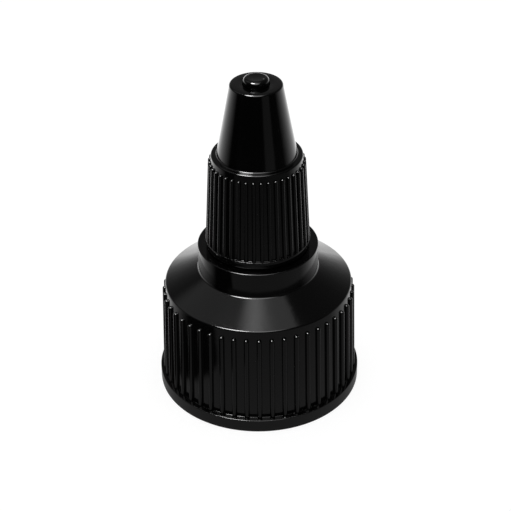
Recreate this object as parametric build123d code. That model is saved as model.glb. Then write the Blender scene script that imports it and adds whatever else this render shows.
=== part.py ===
from build123d import *
import math
import os

# Twist-open dispensing cap for a bottle with a 24 mm screw neck, moulded in two pieces.
# The base screws onto the neck. The tip turns on the base's spud and rises, which draws its
# orifice off the stud and lets the contents out. It is modelled closed.
# The origin is the centre of the base's bottom rim, the axis is Z, and sizes are millimetres.

# Neck thread inside the skirt, of eight turns to the inch: its root sets the skirt's size
neck_thread_root_radius = 12.05
neck_thread_height = 0.95
neck_thread_pitch = 3.175
neck_thread_turns = 2.0
neck_thread_root_width = 2.0
neck_thread_crest_width = 1.1
neck_thread_start_height = 4.4
neck_thread_start_angle = 180.0
neck_thread_top_margin = 1.2

# Plain mouth below the neck thread
mouth_relief = 0.4
mouth_depth = 2.4
mouth_lead = 0.6

# Skirt of the base, whose wall leans in a little so that it leaves its mould
skirt_foot_wall = 1.15
skirt_draft = 0.37
skirt_height = 15.85
skirt_edge_round = 0.25
skirt_rib_count = 48
skirt_rib_round = 0.34
skirt_rib_height = 0.42
skirt_rib_top_drop = 1.2

# Flange round the foot of the skirt
flange_width = 0.8
flange_height = 1.9
flange_edge_round = 0.15

# Sloping shoulder, and the panel under it
shoulder_rise = 2.28
panel_thickness = 1.3
panel_corner_wall = 1.3

# Spud: the threaded tube that carries the tip, which sets the sizes of collar and tip
spud_radius = 4.9
spud_wall = 0.85
spud_shoulder_gap = 2.46
spud_thread_height = 0.45
spud_thread_pitch = 3.0
spud_thread_root_width = 1.2
spud_thread_crest_width = 0.6
spud_thread_foot_margin = 1.3
spud_thread_top_margin = 2.15

# Collar that the tip stands on, hollow round the foot of the spud
collar_hollow_width = 2.1
collar_wall = 1.2
collar_rise = 3.64
collar_top_thickness = 1.25
collar_edge_round = 0.12
collar_foot_round = 0.3

# Plug ring under the collar's wall, which seals in the mouth of the bottle
plug_offset = 0.95
plug_wall = 0.8
plug_length = 4.1
plug_lead = 0.35

# Post that closes the orifice, and the spokes that hold it in the spud
stud_radius = 1.75
stud_proud = 0.85
stud_edge_round = 0.3
stud_dish_depth = 0.08
stud_dish_rim = 0.35
post_draft = 0.35
spoke_count = 3
spoke_width = 1.0
spoke_height = 1.6

# Nose: the narrow end of the spud, which seals inside the tip
nose_flow_gap = 1.1
nose_wall = 0.82
nose_taper_length = 1.2
nose_round = 0.2

# Ribbed skirt of the tip, with a plain band at its foot
tip_gap = 0.15
tip_wall = 1.25
tip_skirt_length = 13.61
tip_draft = 0.64
tip_mouth_lead = 0.33
tip_plate_thickness = 1.1
tip_shoulder_round = 0.2
tip_band_width = 0.35
tip_band_height = 0.95
tip_rib_count = 40
tip_rib_round = 0.26
tip_rib_height = 0.35
tip_rib_top_drop = 0.9

# Nozzle cone of the tip
cone_ledge_width = 0.75
cone_draft = 1.88
cone_length = 10.12
cone_foot_round = 0.2
cone_top_round = 0.25
cone_wall = 0.85
cone_end_thickness = 1.1

# Travel and running clearances between the base and the tip
opening_rise = 4.0
thread_clearance = 0.12
seal_clearance = 0.03
seal_overlap = 0.8
seal_end_room = 0.6
orifice_clearance = 0.03

# Small rounds, and how far a rib's flanks run on into its wall
soft_round = 0.1
inner_round = 0.3
rib_sink = 0.3

# Radii that follow from the sizes above
neck_thread_crest_radius = neck_thread_root_radius - neck_thread_height
mouth_radius = neck_thread_root_radius + mouth_relief
skirt_foot_radius = neck_thread_root_radius + skirt_foot_wall
skirt_top_radius = skirt_foot_radius - skirt_draft
flange_radius = skirt_foot_radius + flange_width
collar_bore = spud_radius + collar_hollow_width
collar_radius = collar_bore + collar_wall
plug_bore = collar_bore + plug_offset
plug_radius = plug_bore + plug_wall
post_foot_radius = stud_radius + post_draft
nose_bore = stud_radius + nose_flow_gap
nose_radius = nose_bore + nose_wall
tip_bore = spud_radius + spud_thread_height + thread_clearance
tip_mouth_radius = tip_bore + tip_mouth_lead
tip_foot_radius = tip_bore + tip_wall
tip_band_radius = tip_foot_radius + tip_band_width
tip_shoulder_radius = tip_foot_radius - tip_draft
cone_foot_radius = tip_shoulder_radius - cone_ledge_width
cone_top_radius = cone_foot_radius - cone_draft

# Heights that follow from the sizes above
collar_foot_height = skirt_height + shoulder_rise
collar_height = collar_foot_height + collar_rise
tip_foot_height = collar_height + tip_gap
tip_shoulder_height = tip_foot_height + tip_skirt_length
tip_plate_underside = tip_shoulder_height - tip_plate_thickness
tip_end_height = tip_shoulder_height + cone_length
stud_height = tip_end_height + stud_proud
nose_height = tip_plate_underside + opening_rise + seal_overlap
spud_shoulder_height = tip_plate_underside - spud_shoulder_gap
spud_foot_height = collar_height - collar_top_thickness - spoke_height

# Turns of the spud's thread that fit between its margins
spud_thread_rise = spud_shoulder_height - collar_height - spud_thread_foot_margin
spud_thread_turns = (spud_thread_rise - spud_thread_top_margin) / spud_thread_pitch


def turned(outline):
    """Solid of revolution about Z from corners given as (radius, height, corner round)."""
    corners = [(radius, height) for radius, height, _ in outline]
    rounds = [corner_round for _, _, corner_round in outline]
    with BuildPart() as solid:
        with BuildSketch(Plane.XZ):
            with BuildLine():
                FilletPolyline(*corners, radius=rounds, close=True)
            make_face()
        revolve(axis=Axis.Z)
    return solid.part


def rib(rib_round, out_of_wall, length):
    """Half-round rib with a domed top, standing along Z on the plane X = -out_of_wall.

    Its flanks run on straight into the wall behind it by rib_sink.
    """
    depth = out_of_wall + rib_sink
    flanks = Rectangle(depth, 2 * rib_round, align=(Align.MAX, Align.CENTER))
    section = flanks + Circle(rib_round)
    widest = 2 * (depth + rib_round)
    upper_half = section & Rectangle(widest, rib_round, align=(Align.CENTER, Align.MIN))
    dome = revolve(upper_half, Axis.X, 180)
    return extrude(section, length) + Pos(0, 0, length) * dome


def rib_ring(count, first_angle, foot, top, rib_round, rib_height):
    """Ring of ribs that lean with the wall, which runs from foot to top, each (radius, height)."""
    foot_radius, foot_height = foot
    top_radius, top_height = top
    lean = math.atan2(foot_radius - top_radius, top_height - foot_height)
    length = math.hypot(foot_radius - top_radius, top_height - foot_height)
    out_of_wall = rib_height - rib_round
    place = Pos(foot_radius + out_of_wall, 0, foot_height) * Rot(0, -math.degrees(lean), 0)
    first = place * rib(rib_round, out_of_wall, length)
    return [Rot(0, 0, first_angle + 360 * k / count) * first for k in range(count)]


def screw_ridge(pitch, turns, root_radius, crest_radius, root_width, crest_width):
    """Right-hand helical ridge that stands on a round wall, from angle 0 and height 0 up.

    It reaches a little into the wall, its crest is a true cylinder, and each end runs out on a
    flat that touches the crest or the wall, whichever is nearer the axis.
    """
    height = abs(root_radius - crest_radius)
    outward = 1 if crest_radius > root_radius else -1
    sink = 0.25 * height
    excess = 0.2 * height
    flank = (root_width - crest_width) / 2 / height
    root = root_radius - outward * sink
    crest = crest_radius + outward * excess
    root_half = root_width / 2 + flank * sink
    crest_half = crest_width / 2 - flank * excess
    section = Polyline(
        (root, 0, -root_half),
        (root, 0, root_half),
        (crest, 0, crest_half),
        (crest, 0, -crest_half),
        close=True,
    )
    path = Helix(pitch=pitch, height=pitch * turns, radius=(root_radius + crest_radius) / 2)
    ridge = sweep(make_face(section), path=path, is_frenet=True)
    near = min(root_radius, crest_radius)
    far = max(root_radius, crest_radius)
    centred = (Align.CENTER, Align.CENTER, Align.CENTER)
    tall = pitch * (turns + 2)
    if outward > 0:
        ridge = ridge & Pos(0, 0, pitch * turns / 2) * Cylinder(far, tall, align=centred)
        run_out = Box(far, 2 * far, pitch, align=(Align.MIN, Align.CENTER, Align.CENTER))
        run_out = Pos(near, 0, 0) * run_out
        back = 0
    else:
        ridge = ridge - Pos(0, 0, pitch * turns / 2) * Cylinder(near, tall, align=centred)
        run_out = Box(near, far, pitch, align=(Align.MIN, Align.MAX, Align.CENTER))
        back = math.degrees(math.acos(near / far))
    end_angle = 360 * turns
    mirrored = mirror(run_out, about=Plane.XZ)
    lower_cut = Rot(0, 0, back) * run_out
    upper_cut = Pos(0, 0, pitch * turns) * Rot(0, 0, end_angle - back) * mirrored
    return ridge - lower_cut - upper_cut


def wall_radius(foot_radius, foot_height, top_radius, top_height, height):
    """Radius of a straight leaning wall at a height."""
    share = (height - foot_height) / (top_height - foot_height)
    return foot_radius + (top_radius - foot_radius) * share


def panel_underside(radius):
    """Height of the panel's underside, which follows the sloping shoulder above it."""
    slope = shoulder_rise / (skirt_top_radius - collar_radius)
    return skirt_height + slope * (skirt_top_radius - radius) - panel_thickness


def base_body():
    """Turned form of the base: flange, skirt, shoulder, collar, spud, nose and plug ring."""
    spud_bore = spud_radius - spud_wall
    collar_ceiling = collar_height - collar_top_thickness
    nose_foot_height = spud_shoulder_height + nose_taper_length
    plug_tip = panel_underside(plug_radius) - plug_length
    corner_radius = skirt_top_radius - panel_corner_wall
    thread_top = (
        neck_thread_start_height
        + neck_thread_pitch * neck_thread_turns
        + neck_thread_root_width / 2
        + neck_thread_top_margin
    )
    outside = [
        (mouth_radius, 0, soft_round),
        (flange_radius, 0, flange_edge_round),
        (flange_radius, flange_height, flange_edge_round),
        (skirt_foot_radius, flange_height, soft_round),
        (skirt_top_radius, skirt_height, skirt_edge_round),
        (collar_radius, collar_foot_height, collar_foot_round),
        (collar_radius, collar_height, collar_edge_round),
        (spud_radius, collar_height, soft_round),
        (spud_radius, spud_shoulder_height, inner_round),
        (nose_radius, nose_foot_height, inner_round),
        (nose_radius, nose_height, nose_round),
    ]
    inside = [
        (nose_bore, nose_height, soft_round),
        (nose_bore, nose_foot_height, inner_round),
        (spud_bore, spud_shoulder_height, inner_round),
        (spud_bore, spud_foot_height, soft_round),
        (spud_radius, spud_foot_height, soft_round),
        (spud_radius, collar_ceiling, inner_round),
        (collar_bore, collar_ceiling, inner_round),
        (collar_bore, panel_underside(collar_bore), inner_round),
        (plug_bore, panel_underside(plug_bore), inner_round),
        (plug_bore, plug_tip, soft_round),
        (plug_radius - plug_lead, plug_tip, soft_round),
        (plug_radius, plug_tip + 2 * plug_lead, 0),
        (plug_radius, panel_underside(plug_radius), soft_round),
        (corner_radius, panel_underside(corner_radius), inner_round),
        (neck_thread_root_radius, thread_top, inner_round),
        (neck_thread_root_radius, mouth_depth + mouth_lead, soft_round),
        (mouth_radius, mouth_depth, soft_round),
    ]
    return turned(outside + inside)


def post():
    """Central post: tapered from the spokes up, then a straight stud with a dished end."""
    straight_height = tip_end_height - 2 * cone_end_thickness
    sphere_rim = stud_radius - stud_dish_rim
    dish_radius = (sphere_rim**2 + stud_dish_depth**2) / (2 * stud_dish_depth)
    body = turned(
        [
            (0, spud_foot_height, 0),
            (post_foot_radius, spud_foot_height, inner_round),
            (stud_radius, straight_height, 0),
            (stud_radius, stud_height, stud_edge_round),
            (0, stud_height, 0),
        ]
    )
    dish = Pos(0, 0, stud_height + dish_radius - stud_dish_depth) * Sphere(dish_radius)
    return body - dish


def spokes():
    """Spokes from the post to the spud's bore, with the flow holes between them."""
    reach = spud_radius - spud_wall / 2
    spoke = Pos(0, 0, spud_foot_height) * Box(
        reach, spoke_width, spoke_height, align=(Align.MIN, Align.CENTER, Align.MIN)
    )
    return [Rot(0, 0, 90 + 360 * k / spoke_count) * spoke for k in range(spoke_count)]


def cap_base():
    """The base as one moulding."""
    rib_top = skirt_height - skirt_rib_top_drop - skirt_rib_round
    rib_top_radius = wall_radius(
        skirt_foot_radius, flange_height, skirt_top_radius, skirt_height, rib_top
    )
    ribs = rib_ring(
        skirt_rib_count,
        -90,
        (skirt_foot_radius, flange_height - soft_round),
        (rib_top_radius, rib_top),
        skirt_rib_round,
        skirt_rib_height,
    )
    neck_thread = screw_ridge(
        neck_thread_pitch,
        neck_thread_turns,
        neck_thread_root_radius,
        neck_thread_crest_radius,
        neck_thread_root_width,
        neck_thread_crest_width,
    )
    neck_thread = (
        Pos(0, 0, neck_thread_start_height) * Rot(0, 0, neck_thread_start_angle) * neck_thread
    )
    spud_thread = Pos(0, 0, collar_height + spud_thread_foot_margin) * screw_ridge(
        spud_thread_pitch,
        spud_thread_turns,
        spud_radius,
        spud_radius + spud_thread_height,
        spud_thread_root_width,
        spud_thread_crest_width,
    )
    return base_body() + ribs + [post(), neck_thread, spud_thread] + spokes()


def tip_body():
    """Turned form of the tip: skirt, ledge, nozzle cone and orifice."""
    seal_bore = nose_radius + seal_clearance
    seal_bore_top = nose_height + seal_end_room
    orifice = stud_radius + orifice_clearance
    end_underside = tip_end_height - cone_end_thickness
    end_bore = (
        wall_radius(
            cone_foot_radius, tip_shoulder_height, cone_top_radius, tip_end_height, end_underside
        )
        - cone_wall
    )
    return turned(
        [
            (tip_mouth_radius, tip_foot_height, soft_round),
            (tip_band_radius, tip_foot_height, soft_round),
            (tip_band_radius, tip_foot_height + tip_band_height, soft_round),
            (tip_foot_radius, tip_foot_height + tip_band_height, 0),
            (tip_shoulder_radius, tip_shoulder_height, tip_shoulder_round),
            (cone_foot_radius, tip_shoulder_height, cone_foot_round),
            (cone_top_radius, tip_end_height, cone_top_round),
            (orifice, tip_end_height, 0),
            (orifice, end_underside, 0),
            (end_bore, end_underside, soft_round),
            (seal_bore, seal_bore_top, soft_round),
            (seal_bore, tip_plate_underside, soft_round),
            (tip_bore, tip_plate_underside, inner_round),
        ]
    )


def twist_tip():
    """The tip as one moulding, with a valley between two ribs at the front."""
    rib_foot = tip_foot_height + tip_band_height - soft_round
    rib_top = tip_shoulder_height - tip_rib_top_drop - tip_rib_round
    rib_top_radius = wall_radius(
        tip_foot_radius,
        tip_foot_height + tip_band_height,
        tip_shoulder_radius,
        tip_shoulder_height,
        rib_top,
    )
    ribs = rib_ring(
        tip_rib_count,
        -90 + 180 / tip_rib_count,
        (tip_foot_radius, rib_foot),
        (rib_top_radius, rib_top),
        tip_rib_round,
        tip_rib_height,
    )
    return tip_body() + ribs


os.makedirs("parts", exist_ok=True)
for name, make in (("cap_base", cap_base), ("twist_tip", twist_tip)):
    piece = make()
    export_step(piece, f"parts/{name}.step")
    print(name, "solids", len(piece.solids()), "volume", round(piece.volume, 1), "mm3")
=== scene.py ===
# %% [markdown]
# # A twist-open dispensing cap
# A screw base and a ribbed nozzle tip, both moulded in glossy black polypropylene. This lesson
# dresses the measured model of that cap. The measured model gives every size and says what moves,
# and the pieces made here stand in the same place with smooth curves and a real finish.

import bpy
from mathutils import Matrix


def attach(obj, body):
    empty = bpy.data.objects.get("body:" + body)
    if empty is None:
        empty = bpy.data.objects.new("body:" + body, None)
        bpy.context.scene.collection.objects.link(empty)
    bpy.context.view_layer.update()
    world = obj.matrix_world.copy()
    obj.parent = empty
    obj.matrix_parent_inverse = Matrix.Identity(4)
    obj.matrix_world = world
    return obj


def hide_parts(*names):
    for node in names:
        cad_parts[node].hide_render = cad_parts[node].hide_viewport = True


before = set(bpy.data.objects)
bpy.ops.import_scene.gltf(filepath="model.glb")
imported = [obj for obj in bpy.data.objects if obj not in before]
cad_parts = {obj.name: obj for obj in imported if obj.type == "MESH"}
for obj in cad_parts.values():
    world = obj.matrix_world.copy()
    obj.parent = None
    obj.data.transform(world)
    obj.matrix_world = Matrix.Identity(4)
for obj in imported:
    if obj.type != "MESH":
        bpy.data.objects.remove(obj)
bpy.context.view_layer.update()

# %% [markdown]
# ## Turning an outline
# Almost every surface of the cap was turned in the mould, so it is the track of a flat outline
# about one axis. A modifier such as Screw could do that too. The spin operator is used here,
# because it leaves a plain mesh that ribs and threads can join. The outline is a wire whose
# corners are rounded by a vertex bevel first, each by its own radius, which is easier to read
# and to change than a bevel on the finished solid.

# %% Round the corners of a wire
import bmesh
import bpy
import math
from mathutils import Matrix, Vector

MM = 0.001
TURN_STEPS = 240


def tangent_length(corner, before, after, radius):
    """How far from a corner an arc of that radius leaves each side."""
    half = (before - corner).angle(after - corner) / 2
    return radius / math.tan(half)


def outline_wire(mesh, corners, closed=True, segments=6):
    """Joins corners, each (radius, height, round) in millimetres, in the XZ plane."""
    spots = [Vector((radius, 0, height)) * MM for radius, height, _ in corners]
    verts = [mesh.verts.new(spot) for spot in spots]
    for index in range(len(verts) if closed else len(verts) - 1):
        mesh.edges.new((verts[index], verts[(index + 1) % len(verts)]))
    for index, (_, _, corner_round) in enumerate(corners):
        if corner_round > 0:
            before = spots[index - 1]
            after = spots[(index + 1) % len(spots)]
            bmesh.ops.bevel(
                mesh,
                geom=[verts[index]],
                offset=tangent_length(spots[index], before, after, corner_round * MM),
                offset_type="OFFSET",
                segments=segments,
                profile=0.5,
                affect="VERTICES",
                material=-1,
            )


# %% Spin a wire about the cap's axis
AXIS = Vector((0, 0, 1))
CENTRE = Vector((0, 0, 0))


def turned(corners, closed=True, segments=6):
    """A bmesh turned once round the axis, with seams and poles closed and faces outwards."""
    mesh = bmesh.new()
    outline_wire(mesh, corners, closed, segments)
    bmesh.ops.spin(
        mesh,
        geom=mesh.verts[:] + mesh.edges[:],
        cent=CENTRE,
        axis=AXIS,
        angle=2 * math.pi,
        steps=TURN_STEPS,
        use_merge=True,
    )
    bmesh.ops.remove_doubles(mesh, verts=mesh.verts[:], dist=0.0005 * MM)
    bmesh.ops.recalc_face_normals(mesh, faces=mesh.faces[:])
    print("turned", len(mesh.faces), "faces")
    return mesh


# %% [markdown]
# ## The base
# The base is one moulding: a flange at the foot, a skirt that leans in by about a degree, a
# sloping shoulder, the collar that the tip stands on, and inside the collar the spud and its
# sealing nose. Under the panel hangs a plug ring. One closed outline goes up the outside and
# comes back down the inside, so that the wall has its real thickness seen from below.

# %% Turn the body of the base
SHOULDER_SLOPE = 2.28 / 4.63


def under_panel(radius):
    """Height of the panel's underside, 1.3 mm under the shoulder."""
    return 15.85 + SHOULDER_SLOPE * (12.83 - radius) - 1.3


BASE_OUTSIDE = [
    (12.45, 0.0, 0.12),
    (14.0, 0.0, 0.15),
    (14.0, 1.9, 0.08),
    (13.2, 1.9, 0.05),
    (12.83, 15.85, 0.25),
    (8.2, 18.13, 0.3),
    (8.2, 21.77, 0.12),
    (4.9, 21.77, 0.15),
    (4.9, 31.97, 0.25),
    (3.67, 33.17, 0.25),
    (3.67, 39.23, 0.2),
]
BASE_INSIDE = [
    (2.85, 39.23, 0.1),
    (2.85, 33.17, 0.3),
    (4.05, 31.97, 0.3),
    (4.05, 18.92, 0.1),
    (4.9, 18.92, 0.1),
    (4.9, 20.52, 0.3),
    (7.0, 20.52, 0.4),
    (7.0, under_panel(7.0), 0.2),
    (7.95, under_panel(7.95), 0.3),
    (7.95, 12.46, 0.12),
    (8.4, 12.46, 0.12),
    (8.75, 13.16, 0.2),
    (8.75, under_panel(8.75), 0.2),
    (11.53, under_panel(11.53), 0.4),
    (12.05, 12.95, 0.3),
    (12.05, 3.0, 0.15),
    (12.45, 2.4, 0.15),
]
base_body = turned(BASE_OUTSIDE + BASE_INSIDE, segments=5)

# %% [markdown]
# ## Ribs for grip
# Each rib is half round with a domed top, and leans with its wall. The first one is the upper half
# of a sphere whose open rim is drawn down into a column. It is then spun as duplicates, one for
# each rib. The columns run on into the wall, as the cavity cut in the mould would, which is
# lighter and cleaner than a Boolean union of all of them with the wall.

# %% Make one rib and spin its copies
def rib_ring(count, first_angle, foot, top, rib_round, rib_height, around=28, rings=7):
    """Ribs from foot to top, each (radius, height) on the wall in millimetres."""
    mesh = bmesh.new()
    bmesh.ops.create_uvsphere(
        mesh, u_segments=around, v_segments=2 * rings, radius=rib_round * MM
    )
    bmesh.ops.bisect_plane(
        mesh,
        geom=mesh.verts[:] + mesh.edges[:] + mesh.faces[:],
        dist=0.0001 * MM,
        plane_co=CENTRE,
        plane_no=AXIS,
        clear_inner=True,
    )
    rim = [edge for edge in mesh.edges if edge.is_boundary]
    length = math.hypot(foot[0] - top[0], top[1] - foot[1])
    drawn = bmesh.ops.extrude_edge_only(mesh, edges=rim)["geom"]
    lowered = [item for item in drawn if isinstance(item, bmesh.types.BMVert)]
    bmesh.ops.translate(mesh, verts=lowered, vec=(0, 0, -length * MM))
    bmesh.ops.holes_fill(mesh, edges=[edge for edge in mesh.edges if edge.is_boundary])
    bmesh.ops.recalc_face_normals(mesh, faces=mesh.faces[:])
    lean = math.atan2(foot[0] - top[0], top[1] - foot[1])
    place = (
        Matrix.Rotation(math.radians(first_angle), 4, "Z")
        @ Matrix.Translation(Vector((top[0] + rib_height - rib_round, 0, top[1])) * MM)
        @ Matrix.Rotation(-lean, 4, "Y")
    )
    bmesh.ops.transform(mesh, matrix=place, verts=mesh.verts[:])
    bmesh.ops.spin(
        mesh,
        geom=mesh.verts[:] + mesh.edges[:] + mesh.faces[:],
        cent=CENTRE,
        axis=AXIS,
        angle=2 * math.pi * (count - 1) / count,
        steps=count - 1,
        use_duplicate=True,
    )
    print("ribs", count, "with", len(mesh.faces), "faces")
    return mesh


# %% Ribs of the base's skirt
skirt_ribs = rib_ring(
    count=48,
    first_angle=-90,
    foot=(13.2, 1.75),
    top=(12.868, 14.31),
    rib_round=0.34,
    rib_height=0.42,
)

# %% [markdown]
# ## Threads
# A screw thread is a small section that turns and rises at once. The spin operator does both when
# it is given a rise for each step. The ends are then pressed back into the wall, because a real
# moulded thread starts and stops in a soft ramp.

# %% Spin a section into a screw ridge
STEPS_PER_TURN = 96
RIDGE_ROUND = 0.08


def screw_ridge(section, wall_radius, pitch, turns, start_height, start_angle, ramp=0.09):
    """Right-hand ridge from a section given as (radius, height) corners in millimetres.

    The section's third corner is on the crest. The ramp at each end is a share of a turn.
    """
    mesh = bmesh.new()
    corners = [(radius, height, RIDGE_ROUND) for radius, height in section]
    outline_wire(mesh, corners, segments=3)
    steps = round(STEPS_PER_TURN * turns)
    bmesh.ops.spin(
        mesh,
        geom=mesh.verts[:] + mesh.edges[:],
        cent=CENTRE,
        axis=AXIS,
        angle=2 * math.pi * turns,
        steps=steps,
        dvec=(0, 0, pitch * turns * MM / steps),
    )
    crest_side = section[2][0] - wall_radius
    for vert in mesh.verts:
        share = math.atan2(vert.co.y, vert.co.x) / (2 * math.pi)
        turn = share + round(vert.co.z / MM / pitch - share)
        reach = max(0.0, min(turn, turns - turn) / ramp)
        radius = math.hypot(vert.co.x, vert.co.y) / MM
        outside_wall = (radius - wall_radius) * crest_side > 0
        if reach < 1 and outside_wall:
            eased = wall_radius + (radius - wall_radius) * math.sin(reach * math.pi / 2)
            vert.co.x *= eased / radius
            vert.co.y *= eased / radius
    bmesh.ops.holes_fill(mesh, edges=[edge for edge in mesh.edges if edge.is_boundary])
    bmesh.ops.recalc_face_normals(mesh, faces=mesh.faces[:])
    bmesh.ops.rotate(
        mesh,
        verts=mesh.verts[:],
        cent=CENTRE,
        matrix=Matrix.Rotation(math.radians(start_angle), 3, "Z"),
    )
    bmesh.ops.translate(mesh, verts=mesh.verts[:], vec=(0, 0, start_height * MM))
    print("screw ridge", turns, "turns,", len(mesh.faces), "faces")
    return mesh


# %% Thread for the bottle's neck, and the coarse thread that the tip turns on
neck_thread = screw_ridge(
    section=[(12.25, -1.09), (12.25, 1.09), (11.1, 0.55), (11.1, -0.55)],
    wall_radius=12.05,
    pitch=3.175,
    turns=2.0,
    start_height=4.4,
    start_angle=180,
)
spud_thread = screw_ridge(
    section=[(4.8, -0.66), (4.8, 0.66), (5.35, 0.3), (5.35, -0.3)],
    wall_radius=4.9,
    pitch=3.0,
    turns=2.25,
    start_height=23.07,
    start_angle=0,
)

# %% [markdown]
# ## The post and its spokes
# The black button in the nozzle's mouth is the end of a post that rises through the whole tip.
# Three spokes hold its foot inside the spud, and the contents flow between them. The post is an
# open outline from pole to pole, and the spin closes it. A spoke starts as a cube.

# %% Turn the post
post = turned(
    [
        (0.0, 18.92, 0),
        (2.1, 18.92, 0.3),
        (1.75, 43.45, 0.5),
        (1.7, 46.5, 0.45),
        (1.1, 46.5, 0.3),
        (0.0, 46.44, 0),
    ],
    closed=False,
    segments=7,
)

# %% Spokes
SPOKE_SIZE = (4.4, 1.0, 1.6)
SPOKE_ROUND = 0.15
SPOKE_CENTRE = (2.2, 0, 19.72)
SPOKE_COUNT = 3

spokes = bmesh.new()
bmesh.ops.create_cube(spokes, size=MM)
bmesh.ops.scale(spokes, vec=SPOKE_SIZE, verts=spokes.verts[:])
bmesh.ops.bevel(
    spokes,
    geom=spokes.edges[:],
    offset=SPOKE_ROUND * MM,
    segments=3,
    profile=0.5,
    affect="EDGES",
    material=-1,
)
bmesh.ops.translate(spokes, verts=spokes.verts[:], vec=Vector(SPOKE_CENTRE) * MM)
bmesh.ops.rotate(
    spokes, verts=spokes.verts[:], cent=CENTRE, matrix=Matrix.Rotation(math.pi / 2, 3, "Z")
)
bmesh.ops.spin(
    spokes,
    geom=spokes.verts[:] + spokes.edges[:] + spokes.faces[:],
    cent=CENTRE,
    axis=AXIS,
    angle=2 * math.pi * (SPOKE_COUNT - 1) / SPOKE_COUNT,
    steps=SPOKE_COUNT - 1,
    use_duplicate=True,
)
print("spokes", len(spokes.faces), "faces")

# %% [markdown]
# ## From parts of a mesh to a piece
# The real base is one piece of plastic, so its parts are joined in one mesh. Smooth shading would
# bend the light on the long flat walls beside each small round. The Weighted Normal modifier stops
# that: it lets the largest face decide the normal that its corners share.

# %% Join parts into one object that rides on a body
SHARP = math.radians(38)


def piece(name, parts, body, node):
    """One object made of several parts, which stands for a node of the measured model."""
    data = bpy.data.meshes.new(name)
    whole = bmesh.new()
    for part in parts:
        part.to_mesh(data)
        whole.from_mesh(data)
        part.free()
    for face in whole.faces:
        face.smooth = True
    for edge in whole.edges:
        edge.smooth = edge.calc_face_angle(0.0) < SHARP
    whole.to_mesh(data)
    whole.free()
    made = bpy.data.objects.new(name, data)
    bpy.context.scene.collection.objects.link(made)
    weighted = made.modifiers.new("flat walls", "WEIGHTED_NORMAL")
    weighted.keep_sharp = True
    weighted.weight = 60
    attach(made, body)
    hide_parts(node)
    print(name, len(data.polygons), "faces")
    return made


base = piece(
    "base_moulding",
    [base_body, skirt_ribs, neck_thread, spud_thread, post, spokes],
    body="base",
    node="cap_base",
)

# %% [markdown]
# ## The twist tip
# The tip is the second moulding: a plain band at its foot, a ribbed skirt to turn it by, a narrow
# ledge, and the nozzle cone. Its outline also goes round once, and comes back through the orifice
# and down the bore that runs on the spud. At the front it shows a valley between two ribs.

# %% Turn the tip and add its ribs
TIP_OUTLINE = [
    (5.8, 21.92, 0.1),
    (7.07, 21.92, 0.12),
    (7.07, 22.87, 0.06),
    (6.72, 22.87, 0.05),
    (6.08, 35.53, 0.2),
    (5.34, 35.53, 0.2),
    (3.45, 45.65, 0.25),
    (1.78, 45.65, 0.06),
    (1.78, 44.55, 0.06),
    (2.8, 44.55, 0.15),
    (3.7, 39.83, 0.2),
    (3.7, 34.43, 0.15),
    (5.47, 34.43, 0.3),
]
tip_body = turned(TIP_OUTLINE, segments=6)
tip_ribs = rib_ring(
    count=40,
    first_angle=-85.5,
    foot=(6.718, 22.8),
    top=(6.136, 34.37),
    rib_round=0.26,
    rib_height=0.35,
)
tip = piece("tip_moulding", [tip_body, tip_ribs], body="tip", node="twist_tip")

# %% [markdown]
# ## Shader maths as expressions
# A node tree reads badly as a list of links. This small class wraps one socket, so that sums of
# masks and noises can be written as Python expressions, and every other node comes from its one
# method.

# %% Wrap a socket
class Wire:
    """One socket of a node tree, which can be used in expressions."""

    def __init__(self, tree, socket=None):
        self.tree = tree
        self.socket = socket

    def node(self, kind, settings=None, inputs=None, out=0):
        """Adds a node of a kind, with its settings first and then its inputs' values or links."""
        made = self.tree.nodes.new("ShaderNode" + kind)
        for name, value in (settings or {}).items():
            setattr(made, name, value)
        for name, value in (inputs or {}).items():
            if isinstance(value, Wire):
                self.tree.links.new(value.socket, made.inputs[name])
            else:
                made.inputs[name].default_value = value
        return Wire(self.tree, made.outputs[out] if made.outputs else None)

    def math(self, operation, *values):
        """A Math node on this socket and up to two more values."""
        settings = {"operation": operation}
        return self.node("Math", settings, dict(enumerate((self,) + values)))

    def __add__(self, other):
        return self.math("ADD", other)

    __radd__ = __add__

    def __mul__(self, other):
        return self.math("MULTIPLY", other)

    __rmul__ = __mul__

    def __sub__(self, other):
        return self.math("SUBTRACT", other)

    def __rsub__(self, other):
        return (self * -1.0) + other

    def __truediv__(self, other):
        return self.math("DIVIDE", other)

    def __pow__(self, other):
        return self.math("POWER", other)

    def parts(self):
        """The three numbers of a vector."""
        split = self.node("SeparateXYZ", {}, {"Vector": self}).socket.node
        return [Wire(self.tree, split.outputs[name]) for name in "XYZ"]

    def clamped(self):
        """The value kept between 0 and 1."""
        return self.math("MAXIMUM", 0.0).math("MINIMUM", 1.0)

    def step(self, low, high):
        """0 under low, 1 over high, and smooth between them."""
        settings = {"interpolation_type": "SMOOTHSTEP"}
        limits = {"Value": self, "From Min": low, "From Max": high}
        return self.node("MapRange", settings, limits)

    def grey(self):
        """The value as a grey colour."""
        colour = {"Red": self, "Green": self, "Blue": self}
        return self.node("CombineColor", {}, colour)


# %% [markdown]
# ## Glossy black polypropylene
# Moulded polypropylene of this kind is nearly a black mirror. What tells it from paint is small:
# the gloss varies in soft patches where the melt met the steel, the surface has a very slight
# ripple, and the static plastic picks up specks of dust. All three come from noises on Object
# coordinates. The colour, the index of refraction and the gloss's base are constants.

# %% Make the plastic
BLACK = 0.0005
DUST_GREY = 0.16
GLOSS_ROUGHNESS = 0.085
PATCH_ROUGHNESS = 0.06
DUST_ROUGHNESS = 0.4
REFRACTION = 1.49
RIPPLE_HEIGHT = 0.00006


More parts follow.
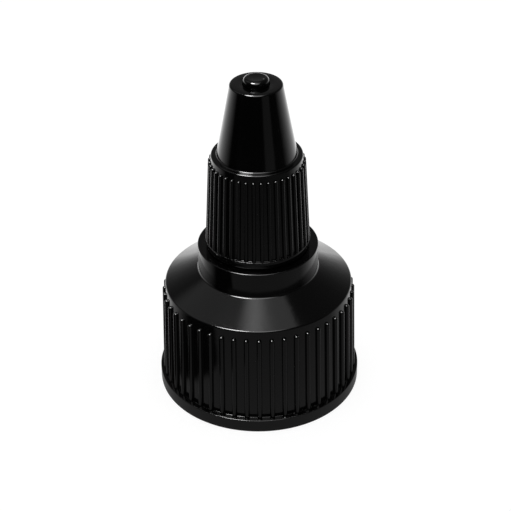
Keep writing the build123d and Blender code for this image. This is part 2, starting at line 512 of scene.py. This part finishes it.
def moulded_black(name, seed):
    """Black plastic, with a seed that sets its patches and specks apart from another piece's."""
    made = bpy.data.materials.new(name)
    made.use_nodes = True
    tree = made.node_tree
    tree.nodes.clear()
    start = Wire(tree)
    place = start.node("TexCoord", out="Object")
    place = place.node("Mapping", {}, {"Vector": place, "Location": (seed, 0.3 * seed, 0)})
    patches = place.node("TexNoise", {}, {"Vector": place, "Scale": 160.0, "Detail": 3.0})
    ripple = place.node("TexNoise", {}, {"Vector": place, "Scale": 520.0, "Detail": 2.0})
    grain = place.node("TexNoise", {}, {"Vector": place, "Scale": 5200.0, "Detail": 1.0})
    specks = place.node("TexVoronoi", {}, {"Vector": place, "Scale": 420.0, "Randomness": 1.0})
    sparse = place.node("TexNoise", {}, {"Vector": place, "Scale": 210.0, "Detail": 0.0})
    dust = (1.0 - specks.step(0.035, 0.06)) * sparse.step(0.6, 0.66)
    height = ripple * 0.6 + grain * 0.02 + dust * 0.5
    normal = place.node("Bump", {}, {"Height": height, "Strength": 0.3, "Distance": RIPPLE_HEIGHT})
    shine = {
        "Base Color": (dust * DUST_GREY + BLACK).grey(),
        "Roughness": patches * PATCH_ROUGHNESS + dust * DUST_ROUGHNESS + GLOSS_ROUGHNESS,
        "IOR": REFRACTION,
        "Normal": normal,
    }
    plastic = place.node("BsdfPrincipled", {}, shine)
    place.node("OutputMaterial", {}, {"Surface": plastic})
    print(name, len(tree.nodes), "nodes")
    return made


base.data.materials.append(moulded_black("black_plastic_base", seed=0.0))
tip.data.materials.append(moulded_black("black_plastic_tip", seed=0.7))

# %% [markdown]
# ## The table
# The photograph is cut out on white, yet the plastic mirrors a dim table round it. That table is
# painted light: to glossy rays it glows with a painted pool of light at the foot of the cap, a
# painted dark patch to the left, and a painted glow at the far end. To the camera it is pale, with
# a faint cast shadow. Its shapes were tuned against the photograph's greys in the main view,
# so from elsewhere the reflections are only plausible.

# %% What the gloss sees of the surroundings, with the table's painted light
CLOSEST = 0.00001
FLANGE = 0.014
# Fade and level of the painted pool of light round the cap's foot
PAINTED_POOL_FADE = 0.06
PAINTED_POOL_LEVEL = 0.22
# Level of the painted strip of light
PAINTED_STRIP_LEVEL = 0.12


def from_axis(across, along):
    """Distance from the cap's axis, kept off zero because it divides."""
    return (across * across + along * along).math("SQRT").math("MAXIMUM", CLOSEST)


def far_glow(across, along):
    """1 towards the far side of the cap, fading to 0 a little in front of its flanks."""
    return (((along / from_axis(across, along)) + 0.2) / 1.2).clamped() ** 1.2


def painted_table_light(place):
    """Painted light on the table as the gloss sees it, at a place given in metres from the cap's
    axis.
    """
    across, along, _ = place.parts()
    distance = from_axis(across, along)
    # A painted pool of light round the cap's foot, fading with distance
    painted_pool = ((distance - FLANGE) / -PAINTED_POOL_FADE).math("EXPONENT") * PAINTED_POOL_LEVEL
    # The painted dark patch has three soft edges, at the left of the cap's foot, and takes the
    # painted pool of light away there
    left = across * -1.0
    painted_dark_patch = (
        left.step(0.0155, 0.018)
        * (along + left * 0.52 + 0.0127).step(-0.001, 0.002)
        * (left * 1.1 - along - 0.0209).step(-0.002, 0.003)
    )
    # A painted glow that brightens towards the far end of the table, a little dimmer to the right
    painted_far_glow = far_glow(across, along) * (distance.step(0.015, 0.1) * 0.55 + 0.8)
    # A paler painted strip of light runs off to the front right
    painted_strip = (across * 0.588 + along * -0.809) / distance
    painted_pool = painted_pool + painted_strip.step(0.955, 0.985) * distance.step(0.08, 0.12) * PAINTED_STRIP_LEVEL
    return painted_pool * (1.0 - painted_dark_patch) + painted_far_glow * (1.5 - across.step(-0.03, 0.03) * 0.2)


# %% The table
TABLE_HALF_WIDTH = 3.0
TABLE_DROP = 0.02
PALE = (0.85, 0.85, 0.85, 1)
TABLE_GREY = (0.2, 0.2, 0.2, 1)

table_mesh = bmesh.new()
bmesh.ops.create_grid(table_mesh, x_segments=1, y_segments=1, size=TABLE_HALF_WIDTH)
table_data = bpy.data.meshes.new("table")
table_mesh.to_mesh(table_data)
table_mesh.free()
table = bpy.data.objects.new("table", table_data)
table.location.z = -TABLE_DROP * MM
bpy.context.scene.collection.objects.link(table)

table_pale_with_painted_glow = bpy.data.materials.new("table_pale_with_painted_glow")
table_pale_with_painted_glow.use_nodes = True
table_pale_with_painted_glow.node_tree.nodes.clear()
start = Wire(table_pale_with_painted_glow.node_tree)
# To glossy rays the table is painted light, an emission of that painted glow; to other rays it is
# pale and lit
painted_glow = painted_table_light(start.node("TexCoord", out="Object"))
painted_reflection = start.node("Emission", {}, {"Color": painted_glow.grey()})
lit = start.node("BsdfDiffuse", {}, {"Color": TABLE_GREY})
plain = start.node("Emission", {}, {"Color": PALE})
pale = start.node("AddShader", {}, {0: plain, 1: lit})
in_gloss = start.node("LightPath", out="Is Glossy Ray")
seen = start.node("MixShader", {}, {0: in_gloss, 1: pale, 2: painted_reflection})
from_below = start.node("NewGeometry", out="Backfacing")
clear = start.node("BsdfTransparent")
one_sided = start.node("MixShader", {}, {0: from_below, 1: seen, 2: clear})
start.node("OutputMaterial", {}, {"Surface": one_sided})
table_data.materials.append(table_pale_with_painted_glow)
print("table", len(table_pale_with_painted_glow.node_tree.nodes), "nodes")

# %% [markdown]
# ## The room
# To the camera the room is plain white, and for plain surfaces it is even, soft light. In the
# gloss it is a dim room with a bright band along the far horizon, a paler wall to the left, a
# ceiling panel and a small lamp above the cap, a little to the left and forward. That lamp gives
# the highlights on the rounded tops of the ribs and on the edges.

# %% The room
room = bpy.data.worlds.new("studio")
bpy.context.scene.world = room
room.use_nodes = True
room.node_tree.nodes.clear()
start = Wire(room.node_tree)
across, along, upward = start.node("TexCoord", out="Generated").parts()


def facing(direction):
    """1 where the room lies in that direction, and less away from it."""
    return across * direction[0] + along * direction[1] + upward * direction[2]


BAND_LEVEL = 2.3
BAND_FADE = 0.13
WALL_LEVEL = 0.3
LAMP_LEVEL = 45.0
FRONT_LEVEL = 3.6
CEILING_LEVEL = 0.06
ROOM_LEVEL = 0.003
LOWEST = 0.05
band_fade = (upward.math("MAXIMUM", 0.0) / -BAND_FADE).math("EXPONENT")
band = far_glow(across, along) * band_fade * BAND_LEVEL
pale_wall = facing((-0.446, 0.313, 0.839)).step(0.9, 0.97) * WALL_LEVEL
lamp = facing((-0.316, -0.256, 0.9135)).step(0.972, 0.988) * LAMP_LEVEL
front_glow = facing((-0.1, -0.5, 0.86)).step(0.84, 0.96) * FRONT_LEVEL

# The panel is a window in a plane overhead, brighter round a tube that runs along it
panel_x = across / upward.math("MAXIMUM", LOWEST)
panel_y = along / upward.math("MAXIMUM", LOWEST)
inside_x = panel_x.step(-0.24, -0.13) * (1.0 - panel_x.step(0.33, 0.37))
inside_y = panel_y.step(-0.25, -0.15) * (1.0 - panel_y.step(0.33, 0.39))
bulb = ((panel_x + 0.04) * (panel_x + 0.04) / -0.012).math("EXPONENT")
panel = inside_x * inside_y * (bulb * 1.35 + 0.65) * upward.step(0.3, 0.5)
ceiling = upward.step(0.1, 0.4) * CEILING_LEVEL
gloss_room = (band + pale_wall + lamp + front_glow + panel + ceiling + ROOM_LEVEL).grey()
even_room = start.node("RGB")
even_room.socket.default_value = PALE
in_gloss = start.node("LightPath", out="Is Glossy Ray")
mixing = {"data_type": "RGBA"}
levels = {"Factor": in_gloss, "A": even_room, "B": gloss_room}
tint = start.node("Mix", mixing, levels, out="Result")
start.node("OutputWorld", {}, {"Surface": start.node("Background", {}, {"Color": tint})})
print("room", len(room.node_tree.nodes), "nodes")

# %% [markdown]
# ## Light and camera
# A large, weak softbox hangs overhead, a little to the right and behind. It adds to the even light
# on plain surfaces. The gloss doesn't see it, because the highlights come from the room's own lamp.
# The camera looks down at about 33 degrees with a long lens. Its small turns about its three axes
# come from fitting the outline of the cap to the photograph.

# %% Softbox overhead
SOFTBOX_SIZE = (0.265, 0.25)
SOFTBOX_PLACE = (0.045, 0.025, 0.5)
SOFTBOX_WATTS = 0.3

soft_data = bpy.data.lights.new("softbox", "AREA")
soft_data.shape = "RECTANGLE"
soft_data.size, soft_data.size_y = SOFTBOX_SIZE
soft_data.energy = SOFTBOX_WATTS
softbox = bpy.data.objects.new("softbox", soft_data)
softbox.location = SOFTBOX_PLACE
softbox.visible_glossy = False
bpy.context.scene.collection.objects.link(softbox)

# %% Camera
DISTANCE = 0.2057
AIM_HEIGHT = 0.02074
DOWN = math.radians(32.88)
YAW = math.radians(-0.098)
TILT = math.radians(-0.287)
ROLL = math.radians(-0.66)
ahead = Vector((0, math.cos(DOWN), -math.sin(DOWN)))
right = Vector((1, 0, 0))
above = Vector((0, math.sin(DOWN), math.cos(DOWN)))
ahead, right = (
    ahead * math.cos(YAW) + right * math.sin(YAW),
    right * math.cos(YAW) - ahead * math.sin(YAW),
)
ahead, above = (
    ahead * math.cos(TILT) + above * math.sin(TILT),
    above * math.cos(TILT) - ahead * math.sin(TILT),
)
right, above = (
    right * math.cos(ROLL) + above * math.sin(ROLL),
    above * math.cos(ROLL) - right * math.sin(ROLL),
)
camera_data = bpy.data.cameras.new("camera")
camera_data.sensor_width = 36.0
camera_data.lens = 106.4
camera_data.clip_start = 0.01
camera = bpy.data.objects.new("camera", camera_data)
camera.matrix_world = Matrix((right, above, -ahead)).transposed().to_4x4()
camera.location = (0, -DISTANCE * math.cos(DOWN), AIM_HEIGHT + DISTANCE * math.sin(DOWN))
bpy.context.scene.collection.objects.link(camera)
bpy.context.scene.camera = camera

# %% [markdown]
# ## A plain view
# The view is left plain, so that a colour renders about as it is written.

bpy.context.scene.view_settings.view_transform = "Standard"
